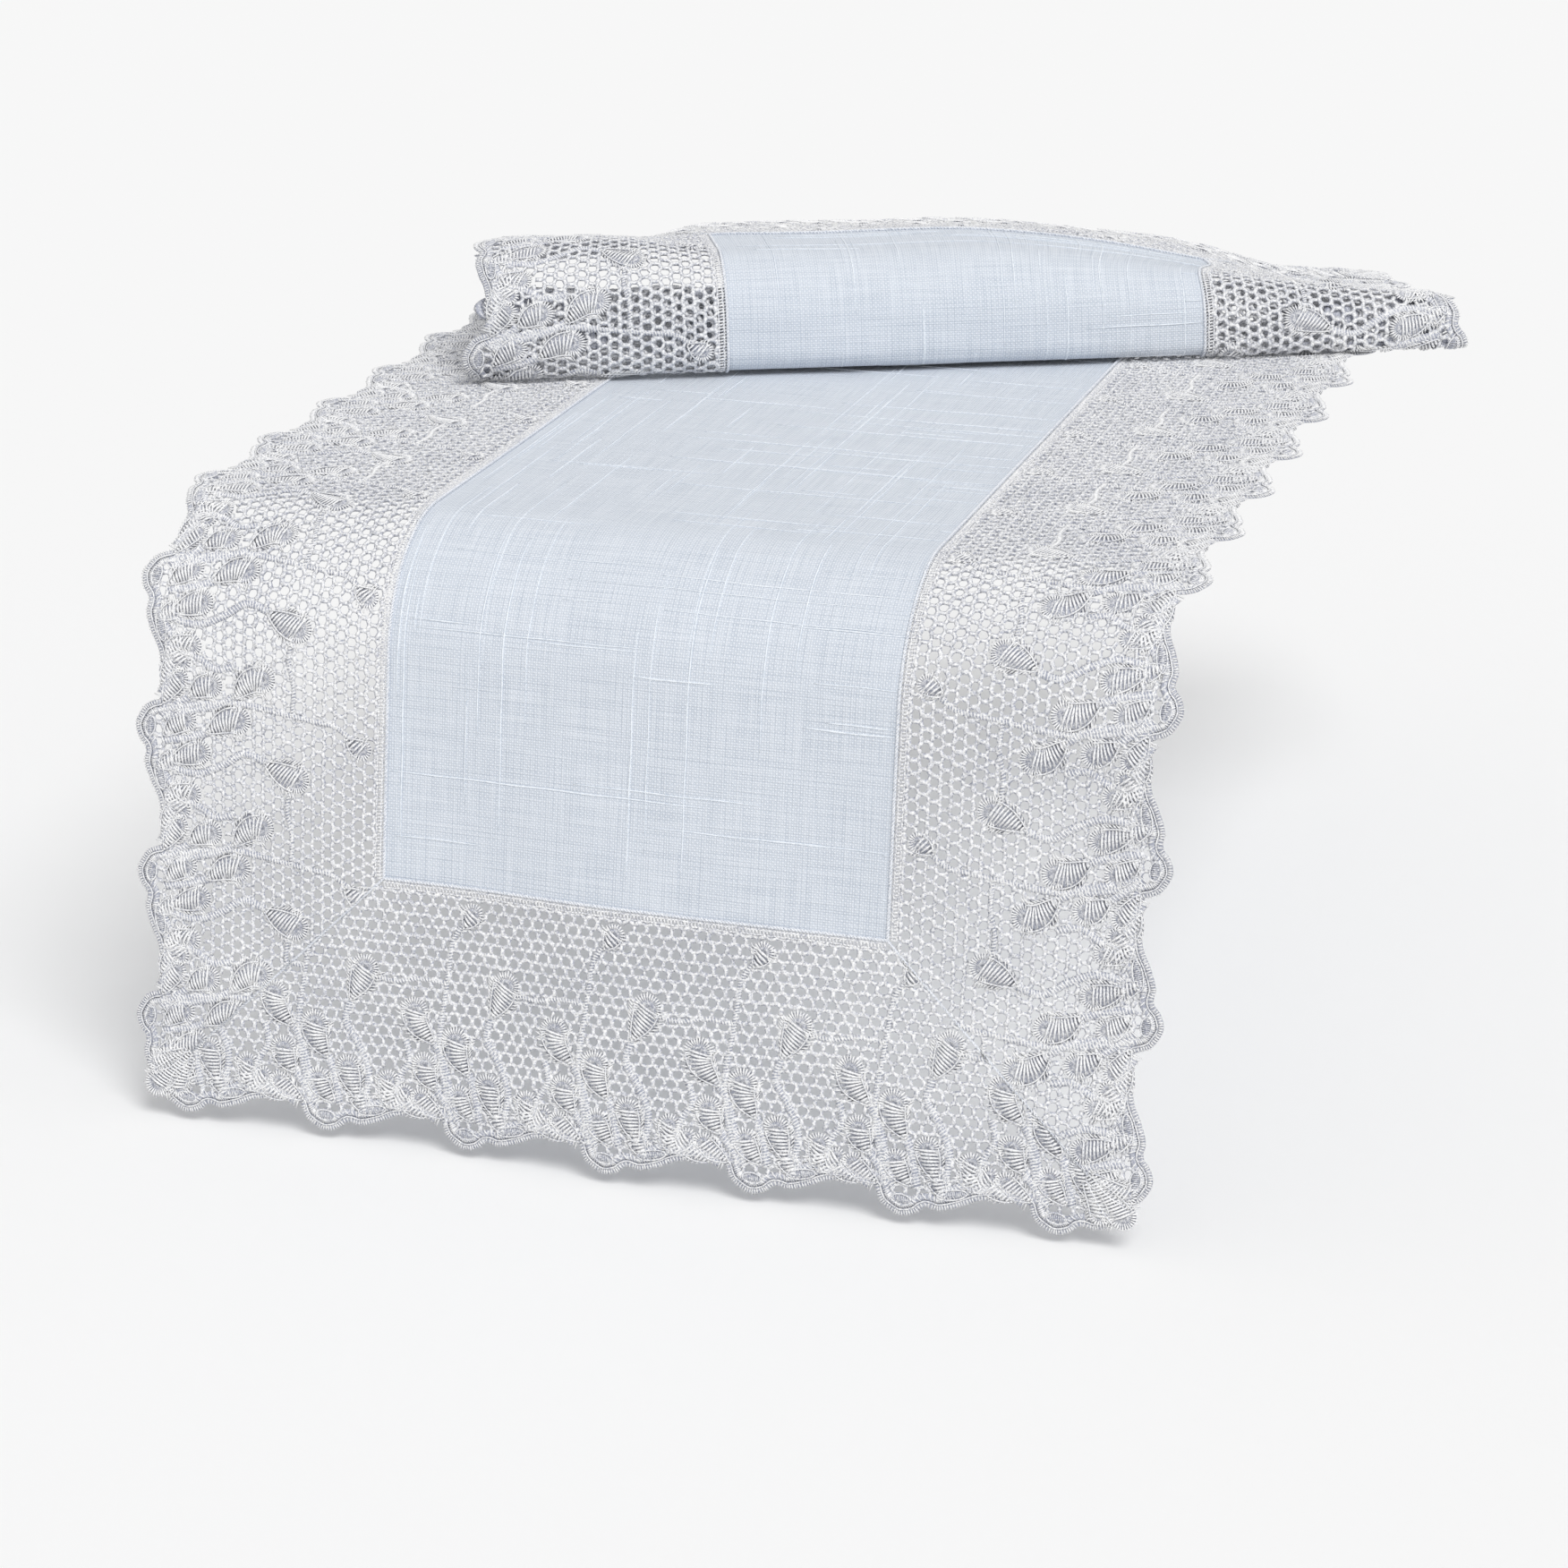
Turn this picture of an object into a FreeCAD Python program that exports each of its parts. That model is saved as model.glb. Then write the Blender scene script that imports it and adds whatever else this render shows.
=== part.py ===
"""A lace-bordered table runner, draped over a table edge and folded back on itself at its far end.

The cloth runs from its front hem up a hanging drop, over a soft bend and back along the table. There it folds
forward (the back fold), returns over itself, folds again (the front fold), rises as a face, turns over a crest
and ends in the rear border. Distances across the cloth are called u, and distances along it run from the front hem.

Frame, in millimetres: +X across the cloth, +Y towards its far end, +Z up. The table top is the plane z = 0, and the
origin is on it, under the centre line of the flat stretch.
"""
import FreeCAD
import Part
import Sketcher
import math
import os

from FreeCAD import Placement, Rotation, Vector

DIMENSIONS = (
    ("runner_length", 914, "cut length, front hem to rear hem"),
    ("runner_width", 400, "cut width, side hem to side hem"),
    ("lace_width", 102, "width of every lace border"),
    ("cloth_thickness", 1.2, "panel and lace"),
    ("cord_width", 2, "sewn cord over a seam"),
    ("cord_height", 1, "how far the cord stands above the cloth"),
    ("drop_length", 186, "straight hanging stretch, front hem to bend"),
    ("drop_lean", 8, "degrees that the drop leans out at its hem"),
    ("bend_radius", 52, "of the cloth's middle, over the table edge"),
    ("flat_front", 120, "flat cloth from the bend to the origin"),
    ("flat_back", 220, "flat cloth from the origin to the back fold, on the centre line"),
    ("back_fold_angle", 12.5, "degrees between the back fold and the weft"),
    ("back_fold_radius", 4.5, "of the cloth's middle"),
    ("return_length", 92, "from the back fold to the front fold, on the centre line"),
    ("return_slope", 8, "degrees that the returning layer slopes down to the front fold"),
    ("fold_clearance", 3, "from the table to the underside of the front fold"),
    ("crest_high", 48, "height of the crest on the left"),
    ("crest_low", 22, "height of the crest at the right-hand hem"),
    ("crest_break", 20, "where across the cloth the crest starts to fall"),
    ("face_lean", 12, "degrees that the face leans back"),
    ("crest_slope", 2, "degrees that the panel slopes down behind the crest"),
    ("rear_slope_high", 10, "degrees that the rear border slopes down on the left"),
    ("rear_slope_low", 10, "degrees that the rear border slopes down at the right-hand hem"),
)

RETURN_TURN_RADIUS = 20
REAR_TURN_RADIUS = 30
FRONT_FOLD_SHARE = 0.14
CREST_SHARE = 0.3
REACH = 1000

doc = FreeCAD.newDocument("table_runner")
sheet = doc.addObject("Spreadsheet::Sheet", "Sizes")
for row, (alias, value, meaning) in enumerate(DIMENSIONS, start=1):
    sheet.set(f"A{row}", str(value))
    sheet.set(f"B{row}", meaning)
    sheet.setAlias(f"A{row}", alias)
doc.recompute()


def size(alias):
    """A driving dimension, read from the sheet."""
    return float(sheet.get(alias))


HALF_WIDTH = size("runner_width") / 2
SEAM = HALF_WIDTH - size("lace_width")
HALF_CLOTH = size("cloth_thickness") / 2
HALF_CORD = size("cord_width") / 2
BEND_TURN = 90 - size("drop_lean")
RETURN_HEIGHT = HALF_CLOTH + 2 * size("back_fold_radius")
FRONT_FOLD_HEIGHT = size("fold_clearance") + HALF_CLOTH

CLOTH = (-HALF_CLOTH, HALF_CLOTH)
CORD = (HALF_CLOTH, HALF_CLOTH + size("cord_height"))


# Paths. A path is a list of (length, turn) stretches in a YZ plane, with the turn in degrees, positive to the left.
# Left of the path is the cloth's right side, the one that shows.

def line(length):
    return (length, 0)


def bend(radius, turn):
    return (radius * math.radians(abs(turn)), turn)


def path_length(path):
    return sum(length for length, turn in path)


def clipped(path, first, last):
    """The stretches of a path between two distances along it."""
    kept = []
    start = 0
    for length, turn in path:
        low = max(first, start)
        high = min(last, start + length)
        if high - low > 1e-6:
            kept.append((high - low, turn * (high - low) / length))
        start += length
    return kept


def walk(point, heading, stretch, side):
    """The point, middle and end of one stretch of a path, moved sideways to the left by side, and what follows it."""
    length, turn = stretch

    def place(share):
        angle = math.radians(heading + turn * share)
        if turn:
            radius = length / math.radians(turn)
            start = math.radians(heading)
            along = Vector(0, math.sin(angle) - math.sin(start), math.cos(start) - math.cos(angle)) * radius
        else:
            along = Vector(0, math.cos(angle), math.sin(angle)) * (length * share)
        return point + along, Vector(0, -math.sin(angle), math.cos(angle)) * side

    ends = [sum(place(share), Vector()) for share in (0, 0.5, 1)]
    return ends, place(1)[0], heading + turn


def side_edges(path, point, heading, side):
    edges = []
    for stretch in path:
        (first, middle, last), point, heading = walk(point, heading, stretch, side)
        if stretch[1]:
            edges.append(Part.Arc(first, middle, last).toShape())
        else:
            edges.append(Part.makeLine(first, last))
    return edges


def band(path, point, heading, sides):
    """The closed outline of a layer that follows a path, between two distances to its left."""
    low = side_edges(path, point, heading, sides[0])
    high = side_edges(path, point, heading, sides[1])
    end_cap = Part.makeLine(low[-1].lastVertex().Point, high[-1].lastVertex().Point)
    start_cap = Part.makeLine(high[0].firstVertex().Point, low[0].firstVertex().Point)
    return Part.Wire(low + [end_cap] + high[::-1] + [start_cap])


def extruded(outline, low_x, high_x):
    face = Part.Face(outline)
    face.translate(Vector(low_x, 0, 0))
    return face.extrude(Vector(high_x - low_x, 0, 0))


def prism(corners, low_z, high_z):
    """An upright prism over a plan outline."""
    points = [Vector(x, y, low_z) for x, y in corners]
    return Part.Face(Part.makePolygon(points + points[:1])).extrude(Vector(0, 0, high_z - low_z))


def joined(solids):
    whole = solids[0].multiFuse(solids[1:]) if len(solids) > 1 else solids[0]
    return whole.removeSplitter()


# The draped stretch: drop, bend and flat, along X.

DRAPE = [
    line(size("drop_length")),
    bend(size("bend_radius"), -BEND_TURN),
    line(size("flat_front") + REACH),
]
BEND_AXIS = Vector(0, -size("flat_front"), HALF_CLOTH - size("bend_radius"))
DROP_UP = Vector(0, math.cos(math.radians(BEND_TURN)), math.sin(math.radians(BEND_TURN)))
DROP_OUT = Vector(0, -DROP_UP.z, DROP_UP.y)
HEM_MIDDLE = BEND_AXIS + DROP_OUT * size("bend_radius") - DROP_UP * size("drop_length")
DROP_FRAME = Placement(HEM_MIDDLE, Rotation(Vector(1, 0, 0), BEND_TURN))

# The back fold, along its own line, and the part of the table in front of it.

BACK_FOLD_FRAME = Placement(Vector(0, size("flat_back"), 0), Rotation(Vector(0, 0, 1), size("back_fold_angle")))
BACK_FOLD_SHIFT = math.pi * size("back_fold_radius") * math.tan(math.radians(size("back_fold_angle")))
IN_FRONT_OF_BACK_FOLD = prism(((-REACH, -REACH), (REACH, -REACH), (REACH, 0), (-REACH, 0)), -REACH, REACH)
IN_FRONT_OF_BACK_FOLD.Placement = BACK_FOLD_FRAME

# The folded stretch. Two parallel layers joined by a slanted fold lie at twice the fold's angle to each other.

FOLD_TURN = 2 * size("back_fold_angle")
BACK_FOLD_ALONG_WARP = math.pi * size("back_fold_radius") / math.cos(math.radians(size("back_fold_angle")))
FOLD_FRAME = Placement(
    Vector(0, size("flat_back"), 0)
    + BACK_FOLD_FRAME.Rotation.multVec(Vector(0, math.pi * size("back_fold_radius"), 0))
    - Rotation(Vector(0, 0, 1), FOLD_TURN).multVec(Vector(0, BACK_FOLD_ALONG_WARP + size("return_length"), 0)),
    Rotation(Vector(0, 0, 1), FOLD_TURN),
)

RETURN_SLOPE = size("return_slope")
RETURN_FALL = RETURN_HEIGHT - FRONT_FOLD_HEIGHT
RETURN_TURN_FALL = RETURN_TURN_RADIUS * (1 - math.cos(math.radians(RETURN_SLOPE)))
RETURN_RAMP = (RETURN_FALL - 2 * RETURN_TURN_FALL) / math.sin(math.radians(RETURN_SLOPE))
RETURN_RUN = (
    RETURN_RAMP * math.cos(math.radians(RETURN_SLOPE))
    + 2 * RETURN_TURN_RADIUS * math.sin(math.radians(RETURN_SLOPE))
)
RETURN = [
    line(REACH - RETURN_RUN),
    bend(RETURN_TURN_RADIUS, RETURN_SLOPE),
    line(RETURN_RAMP),
    bend(RETURN_TURN_RADIUS, -RETURN_SLOPE),
]

LENGTH_TO_FRONT_FOLD = (
    path_length(DRAPE[:2])
    + size("flat_front")
    + size("flat_back")
    + BACK_FOLD_ALONG_WARP
    + size("return_length")
    + path_length(RETURN) - REACH
)
LENGTH_ON_TOP = size("runner_length") - LENGTH_TO_FRONT_FOLD
REAR_SEAM = LENGTH_ON_TOP - size("lace_width")


def along_crest(u, high, low):
    """A size that holds on the left of the crest and changes evenly from its break to the right-hand hem."""
    share = (u - size("crest_break")) / (HALF_WIDTH - size("crest_break"))
    return high + (low - high) * min(max(share, 0), 1)


def top_path(u):
    """Front fold, face, crest and top layer of the folded stretch, down to the rear hem."""
    crest = along_crest(u, size("crest_high"), size("crest_low"))
    rear_slope = along_crest(u, size("rear_slope_high"), size("rear_slope_low"))
    lean = math.radians(size("face_lean"))
    fold_radius = FRONT_FOLD_SHARE * crest
    crest_radius = CREST_SHARE * crest
    fold_rise = fold_radius * (1 + math.sin(lean))
    crest_rise = crest_radius * (1 - math.sin(lean))
    face = (crest - FRONT_FOLD_HEIGHT - fold_rise - crest_rise) / math.cos(lean)
    climb = [
        bend(fold_radius, -(90 + size("face_lean"))),
        line(face),
        bend(crest_radius, -(90 - size("face_lean") + size("crest_slope"))),
    ]
    climb.append(line(REAR_SEAM - path_length(climb)))
    rear_turn = bend(REAR_TURN_RADIUS, size("crest_slope") - rear_slope)
    return climb + [rear_turn, line(size("lace_width") - rear_turn[0])]


TOP_START = Vector(0, 0, FRONT_FOLD_HEIGHT)


def top_layer(u_first, u_last, sides, first=0.0, last=LENGTH_ON_TOP):
    """The top path's layer across the cloth, with a section wherever the crest changes."""
    stations = sorted({u_first, u_last} | {u for u in (size("crest_break"), SEAM) if u_first < u < u_last})
    sections = []
    for u in stations:
        start = TOP_START
        heading = 180
        for stretch in clipped(top_path(u), 0, first):
            _, start, heading = walk(start, heading, stretch, 0)
        section = band(clipped(top_path(u), first, last), start, heading, sides)
        section.translate(Vector(u, 0, 0))
        sections.append(section)
    return Part.makeLoft(sections, True, True)


def plan_point(u, distance):
    """Where a point of the top layer lies in plan, in the folded stretch's frame."""
    point = TOP_START
    heading = 180
    for stretch in clipped(top_path(u), 0, distance):
        _, point, heading = walk(point, heading, stretch, 0)
    return u, point.y


def placed(solid, frame):
    moved = solid.copy()
    moved.Placement = frame
    return moved


def drape_layer(u_first, u_last, sides, first):
    path = clipped(DRAPE, first, path_length(DRAPE))
    start = HEM_MIDDLE + DROP_UP * first
    solid = extruded(band(path, start, BEND_TURN, sides), u_first, u_last)
    return solid.common(IN_FRONT_OF_BACK_FOLD)


def back_fold_layer(u_first, u_last, sides):
    """Half a ring along the back fold. Its ends slant, because the warp crosses the fold at an angle."""
    ring = band([bend(size("back_fold_radius"), 180)], Vector(0, 0, HALF_CLOTH), 0, sides)
    long_ring = extruded(ring, -REACH, REACH)
    low_z = HALF_CLOTH - size("back_fold_radius")
    high_z = RETURN_HEIGHT + size("back_fold_radius")
    lean = BACK_FOLD_SHIFT / (2 * size("back_fold_radius"))
    corners = []
    for u, z in ((u_first, low_z), (u_last, low_z), (u_last, high_z), (u_first, high_z)):
        along_fold = u / math.cos(math.radians(size("back_fold_angle")))
        corners.append(Vector(along_fold + (z - HALF_CLOTH) * lean, -REACH, z))
    slice_of_fold = Part.Face(Part.makePolygon(corners + corners[:1])).extrude(Vector(0, 2 * REACH, 0))
    return placed(long_ring.common(slice_of_fold), BACK_FOLD_FRAME)


def return_layer(u_first, u_last, sides):
    outline = band(RETURN, Vector(0, REACH, RETURN_HEIGHT), 180, sides)
    solid = placed(extruded(outline, u_first, u_last), FOLD_FRAME)
    return solid.common(IN_FRONT_OF_BACK_FOLD)


def strip(u_first, u_last, sides, first, top):
    """One layer along the whole cloth: the draped stretch from a distance above the hem, then the folds."""
    return joined([
        drape_layer(u_first, u_last, sides, first),
        back_fold_layer(u_first, u_last, sides),
        return_layer(u_first, u_last, sides),
        placed(top, FOLD_FRAME),
    ])


# Mitres. The borders meet on the diagonals from the panel's corners to the runner's corners.

def front_corner(side, half_gap):
    """What the front border, or with a gap its mitre cord, takes out of a side border."""
    corners = (
        (side * (SEAM - half_gap), size("lace_width") + half_gap),
        (side * (HALF_WIDTH + size("lace_width") + half_gap), -size("lace_width") - half_gap),
        (side * (SEAM - half_gap), -size("lace_width") - half_gap),
    )
    return placed(prism(corners, -REACH / 10, REACH / 10), DROP_FRAME)


def rear_corner(side):
    """The part of a side strip's top layer that lies behind its mitre."""
    seam_u, seam_y = plan_point(side * SEAM, REAR_SEAM)
    hem_u, hem_y = plan_point(side * HALF_WIDTH, LENGTH_ON_TOP)
    beyond = (2 * hem_u - seam_u, 2 * hem_y - seam_y)
    return prism(((seam_u, seam_y), beyond, (seam_u, beyond[1])), -REACH / 10, REACH / 10)


def rear_mitre_slot(side):
    """A narrow upright wall along the rear mitre, as wide as a cord."""
    seam_u, seam_y = plan_point(side * SEAM, REAR_SEAM)
    hem_u, hem_y = plan_point(side * HALF_WIDTH, LENGTH_ON_TOP)
    start = Vector(seam_u, seam_y, 0)
    along = (Vector(hem_u, hem_y, 0) - start).normalize()
    across = Vector(-along.y, along.x, 0) * HALF_CORD
    inner = start + along * size("cord_width")
    outer = start + along * REACH
    corners = [(p.x, p.y) for p in (inner - across, outer - across, outer + across, inner + across)]
    return prism(corners, -REACH / 10, REACH / 10)


def side_range(side, inner, outer):
    return sorted((side * inner, side * outer))


# The sub-parts.

def add_feature(label, shape, frame=Placement()):
    """A sub-part from a shape that was built in a frame: the runner's own, or the folded stretch's."""
    feature = doc.addObject("Part::Feature", label)
    feature.Label = label
    feature.Shape = shape
    feature.Placement = frame
    return feature


def add_centre_panel():
    top = top_layer(-SEAM, SEAM, CLOTH, last=REAR_SEAM)
    return add_feature("centre_panel", strip(-SEAM, SEAM, CLOTH, size("lace_width"), top))


def add_side_border(name, side):
    u_first, u_last = side_range(side, SEAM, HALF_WIDTH)
    top = top_layer(u_first, u_last, CLOTH).cut(rear_corner(side))
    whole = strip(u_first, u_last, CLOTH, 0, top)
    return add_feature(f"lace_border_{name}", whole.cut(front_corner(side, 0)))


def add_rear_border():
    pieces = [top_layer(-SEAM, SEAM, CLOTH, first=REAR_SEAM)]
    for side in (-1, 1):
        u_first, u_last = side_range(side, SEAM, HALF_WIDTH)
        pieces.append(top_layer(u_first, u_last, CLOTH).common(rear_corner(side)))
    return add_feature("lace_border_rear", joined(pieces), FOLD_FRAME)


def add_front_border():
    """A trapezium of lace, its short side sewn to the panel and its slanted sides to the side borders."""
    body = doc.addObject("PartDesign::Body", "lace_border_front")
    body.Label = "lace_border_front"
    sketch = body.newObject("Sketcher::SketchObject", "front_border_outline")
    plane = [feature for feature in body.Origin.OriginFeatures if feature.Role == "XY_Plane"][0]
    sketch.AttachmentSupport = (plane, [""])
    sketch.MapMode = "FlatFace"
    width = size("lace_width")
    corners = [
        Vector(-HALF_WIDTH, 0, 0),
        Vector(HALF_WIDTH, 0, 0),
        Vector(SEAM, width, 0),
        Vector(-SEAM, width, 0),
    ]
    for first, last in zip(corners, corners[1:] + corners[:1]):
        sketch.addGeometry(Part.LineSegment(first, last))
    for edge in range(4):
        sketch.addConstraint(Sketcher.Constraint("Coincident", edge, 2, (edge + 1) % 4, 1))
    sketch.addConstraint(Sketcher.Constraint("Horizontal", 0))
    sketch.addConstraint(Sketcher.Constraint("Symmetric", 0, 1, 0, 2, -1, 1))
    sketch.addConstraint(Sketcher.Constraint("Symmetric", 2, 1, 2, 2, -2))
    dimensions = (
        ("DistanceX", (0, 1, 0, 2), 2 * HALF_WIDTH, "hem_length", "Sizes.runner_width"),
        ("DistanceX", (2, 2, 2, 1), 2 * SEAM, "seam_length", "Sizes.runner_width - 2 * Sizes.lace_width"),
        ("DistanceY", (1, 1, 1, 2), width, "border_width", "Sizes.lace_width"),
    )
    for kind, ends, value, name, expression in dimensions:
        constraint = sketch.addConstraint(Sketcher.Constraint(kind, *ends, value))
        sketch.renameConstraint(constraint, name)
        sketch.setExpression(f"Constraints.{name}", expression)
    pad = body.newObject("PartDesign::Pad", "front_border_pad")
    pad.Profile = sketch
    pad.Midplane = True
    pad.setExpression("Length", "Sizes.cloth_thickness")
    body.Placement = DROP_FRAME
    return body


def add_front_cord():
    """The cord over the front seam, straight across the drop."""
    cord = doc.addObject("Part::Box", "seam_thread_front")
    cord.Label = "seam_thread_front"
    cord.setExpression("Length", "Sizes.runner_width - 2 * Sizes.lace_width + Sizes.cord_width")
    cord.setExpression("Width", "Sizes.cord_width")
    cord.setExpression("Height", "Sizes.cord_height")
    corner = Vector(-SEAM - HALF_CORD, size("lace_width") - HALF_CORD, HALF_CLOTH)
    cord.Placement = DROP_FRAME.multiply(Placement(corner, Rotation()))
    return cord


def add_side_cord(name, side):
    """The cord over a side seam, between the front and the rear cord."""
    u_first, u_last = side_range(side, SEAM - HALF_CORD, SEAM + HALF_CORD)
    top = top_layer(u_first, u_last, CORD, last=REAR_SEAM - HALF_CORD)
    start = size("lace_width") + HALF_CORD
    return add_feature(f"seam_thread_{name}", strip(u_first, u_last, CORD, start, top))


def add_rear_cord():
    reach = SEAM + HALF_CORD
    cord = top_layer(-reach, reach, CORD, first=REAR_SEAM - HALF_CORD, last=REAR_SEAM + HALF_CORD)
    return add_feature("seam_thread_rear", cord, FOLD_FRAME)


def add_front_mitre_cord(name, side):
    """The cord over a front mitre, straight from the panel's corner to the runner's corner."""
    cord = doc.addObject("Part::Box", f"mitre_seam_front_{name}")
    cord.Label = f"mitre_seam_front_{name}"
    cord.setExpression("Length", "Sizes.lace_width * sqrt(2) - 3 * Sizes.cord_width")
    cord.setExpression("Width", "Sizes.cord_width")
    cord.setExpression("Height", "Sizes.cord_height")
    angle = -45 if side > 0 else -135
    along = Rotation(Vector(0, 0, 1), angle)
    corner = Vector(side * SEAM, size("lace_width"), HALF_CLOTH)
    corner += along.multVec(Vector(size("cord_width"), -HALF_CORD, 0))
    cord.Placement = DROP_FRAME.multiply(Placement(corner, along))
    return cord


def add_rear_mitre_cord(name, side):
    u_first, u_last = side_range(side, SEAM, HALF_WIDTH)
    layer = top_layer(u_first, u_last, CORD, first=REAR_SEAM)
    cord = layer.common(rear_mitre_slot(side))
    return add_feature(f"mitre_seam_rear_{name}", cord, FOLD_FRAME)


SIDES = (("left", -1), ("right", 1))

nodes = [add_centre_panel(), add_front_border(), add_rear_border(), add_front_cord(), add_rear_cord()]
for side_name, side_sign in SIDES:
    nodes.append(add_side_border(side_name, side_sign))
    nodes.append(add_side_cord(side_name, side_sign))
    nodes.append(add_front_mitre_cord(side_name, side_sign))
    nodes.append(add_rear_mitre_cord(side_name, side_sign))
doc.recompute()

for item in doc.Objects:
    bad = [state for state in item.State if state in ("Invalid", "Error")]
    if bad:
        raise RuntimeError(f"{item.Name} did not recompute: {bad}")
for node in nodes:
    if node.Shape.isNull() or not node.Shape.isValid():
        raise RuntimeError(f"{node.Label} has no valid shape")

os.makedirs("parts", exist_ok=True)
for node in nodes:
    node.Shape.exportStep(f"parts/{node.Label}.step")
    box = node.Shape.BoundBox
    print(f"{node.Label:24} solids {len(node.Shape.Solids)}  volume {node.Shape.Volume:10.1f}"
          f"  x {box.XMin:.1f} {box.XMax:.1f}  y {box.YMin:.1f} {box.YMax:.1f}  z {box.ZMin:.1f} {box.ZMax:.1f}")
print(f"length on top {LENGTH_ON_TOP:.1f}, rear seam at {REAR_SEAM:.1f}")
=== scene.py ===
"""Looks of the lace-bordered table runner: woven panel, guipure lace borders, sewn cords, light and camera.

Cloth coordinates are in millimetres: u across the runner from its centre line, v along it from the front hem,
and w out of its right side. The drape turns them into the frame's own metres. A lace strip has coordinates of
its own: x along the border, anticlockwise round the runner, and y outwards from its seam with the panel.
"""
import math

import bpy
import numpy as np
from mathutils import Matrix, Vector


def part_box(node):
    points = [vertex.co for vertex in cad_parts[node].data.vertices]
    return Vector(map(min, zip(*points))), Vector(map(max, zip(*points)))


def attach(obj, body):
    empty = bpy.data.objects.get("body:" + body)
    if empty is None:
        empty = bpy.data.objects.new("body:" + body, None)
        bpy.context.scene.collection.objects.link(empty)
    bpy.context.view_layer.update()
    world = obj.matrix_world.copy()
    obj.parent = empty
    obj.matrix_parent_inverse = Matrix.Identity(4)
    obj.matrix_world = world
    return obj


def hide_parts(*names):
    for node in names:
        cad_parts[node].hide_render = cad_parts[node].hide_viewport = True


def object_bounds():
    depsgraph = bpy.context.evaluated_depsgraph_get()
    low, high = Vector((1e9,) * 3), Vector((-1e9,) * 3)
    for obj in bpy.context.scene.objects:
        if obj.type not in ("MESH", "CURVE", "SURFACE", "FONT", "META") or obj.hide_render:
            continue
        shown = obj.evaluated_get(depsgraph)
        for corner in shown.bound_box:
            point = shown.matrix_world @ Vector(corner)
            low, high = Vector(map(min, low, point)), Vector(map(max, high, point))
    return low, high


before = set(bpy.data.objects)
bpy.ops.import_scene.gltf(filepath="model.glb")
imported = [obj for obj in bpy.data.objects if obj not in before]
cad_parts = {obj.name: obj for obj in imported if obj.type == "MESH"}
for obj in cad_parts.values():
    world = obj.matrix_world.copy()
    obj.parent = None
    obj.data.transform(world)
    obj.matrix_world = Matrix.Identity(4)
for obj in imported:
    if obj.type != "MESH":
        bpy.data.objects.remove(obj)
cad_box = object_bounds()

MM = 0.001
TINY = 1e-9
RANDOM = np.random.default_rng(7)

# The cloth's sizes and the lines that it is draped and folded on, as in the CAD model.
LENGTH = 914.0
HALF_WIDTH = round((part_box("lace_border_front")[1][0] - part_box("lace_border_front")[0][0]) / MM / 2)
LACE = 102.0
SEAM = HALF_WIDTH - LACE
CLOTH_HEIGHT = 0.6
DROP = 186.0
DROP_LEAN = math.radians(8)
BEND_RADIUS = 52.0
FLAT_FRONT = 120.0
FLAT_BACK = 220.0
FOLD_ANGLE = math.radians(12.5)
BACK_FOLD_RADIUS = 4.5
RETURN = 92.0
RETURN_SLOPE = math.radians(8)
RETURN_TURN_RADIUS = 20.0
FRONT_FOLD_HEIGHT = 3.6
CREST_HIGH = 48.0
CREST_LOW = 22.0

# The roll's profile, and how loosely its layers, top and lace ends lie.
FACE_LEAN = math.radians(10)
CREST_SLOPE = math.radians(2)
REAR_SLOPE = math.radians(10)
REAR_TURN_RADIUS = 30.0
LEFT_RISE = 7.0
LEFT_SLOPES = (math.radians(14), math.radians(18))
RIGHT_SLOPES = (math.radians(16), math.radians(0))
ROLL_CENTRE = 20.0
ROLL_INSET = 0.06
ROLL_SLIP = 2.1
ROLL_RUMPLE = 1.3
ROLL_HUG = (34.0, 88.0)
FOLD_REACH = 12.0
INNER_SHARE = 0.96
CREST_MIDDLE = 0.5
ROLL_WIDENING = 0.043
LACE_SPREAD = (-0.05, 0.1)
LACE_EASE = 60.0
EASE_START = (10.0, 8.0)
CREST_FALL = (-10.0, 220.0)
LEAST_TURN = 0.01
GATHER = 36.0
GATHER_ALONG = (35.0, 100.0)
GATHER_ACROSS = 110.0
TOP_LEAN = 9.0
CORNER_TUCK = 13.0
FRONT_FOLD_SHARE = 0.16
CREST_SHARE = 0.62

# How far soft waves lift the cloth off its plain drape.
FLUTES = (2.2, 1.1)
SLACK = (0.35, 0.25)
CURLS = (0.7, 0.5)
TABLE_LIFT = 0.35
TABLE_SHARE = 0.3
HEM_EASE = 60.0

BEND_TURN = math.pi / 2 - DROP_LEAN
BEND_LENGTH = BEND_RADIUS * BEND_TURN
FLAT_START = DROP + BEND_LENGTH
BACK_FOLD = FLAT_START + FLAT_FRONT + FLAT_BACK
BACK_FOLD_LENGTH = math.pi * BACK_FOLD_RADIUS
RETURN_HEIGHT = CLOTH_HEIGHT + 2 * BACK_FOLD_RADIUS


def smooth(x):
    x = np.clip(x, 0, 1)
    return x * x * (3 - 2 * x)


# ---------------------------------------------------------------------------------------- the drape

def stretch(distance, start, length, heading, turn):
    """How far a path moves across and up over one stretch, up to a distance along the path."""
    run = np.clip(distance - start, 0, length)
    rate = turn / length
    angle = heading + rate * run
    bent = np.abs(rate) > TINY
    safe = np.where(bent, rate, 1)
    across = np.where(bent, (np.sin(angle) - np.sin(heading)) / safe, run * np.cos(heading))
    up = np.where(bent, (np.cos(heading) - np.cos(angle)) / safe, run * np.sin(heading))
    return across, up


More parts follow.
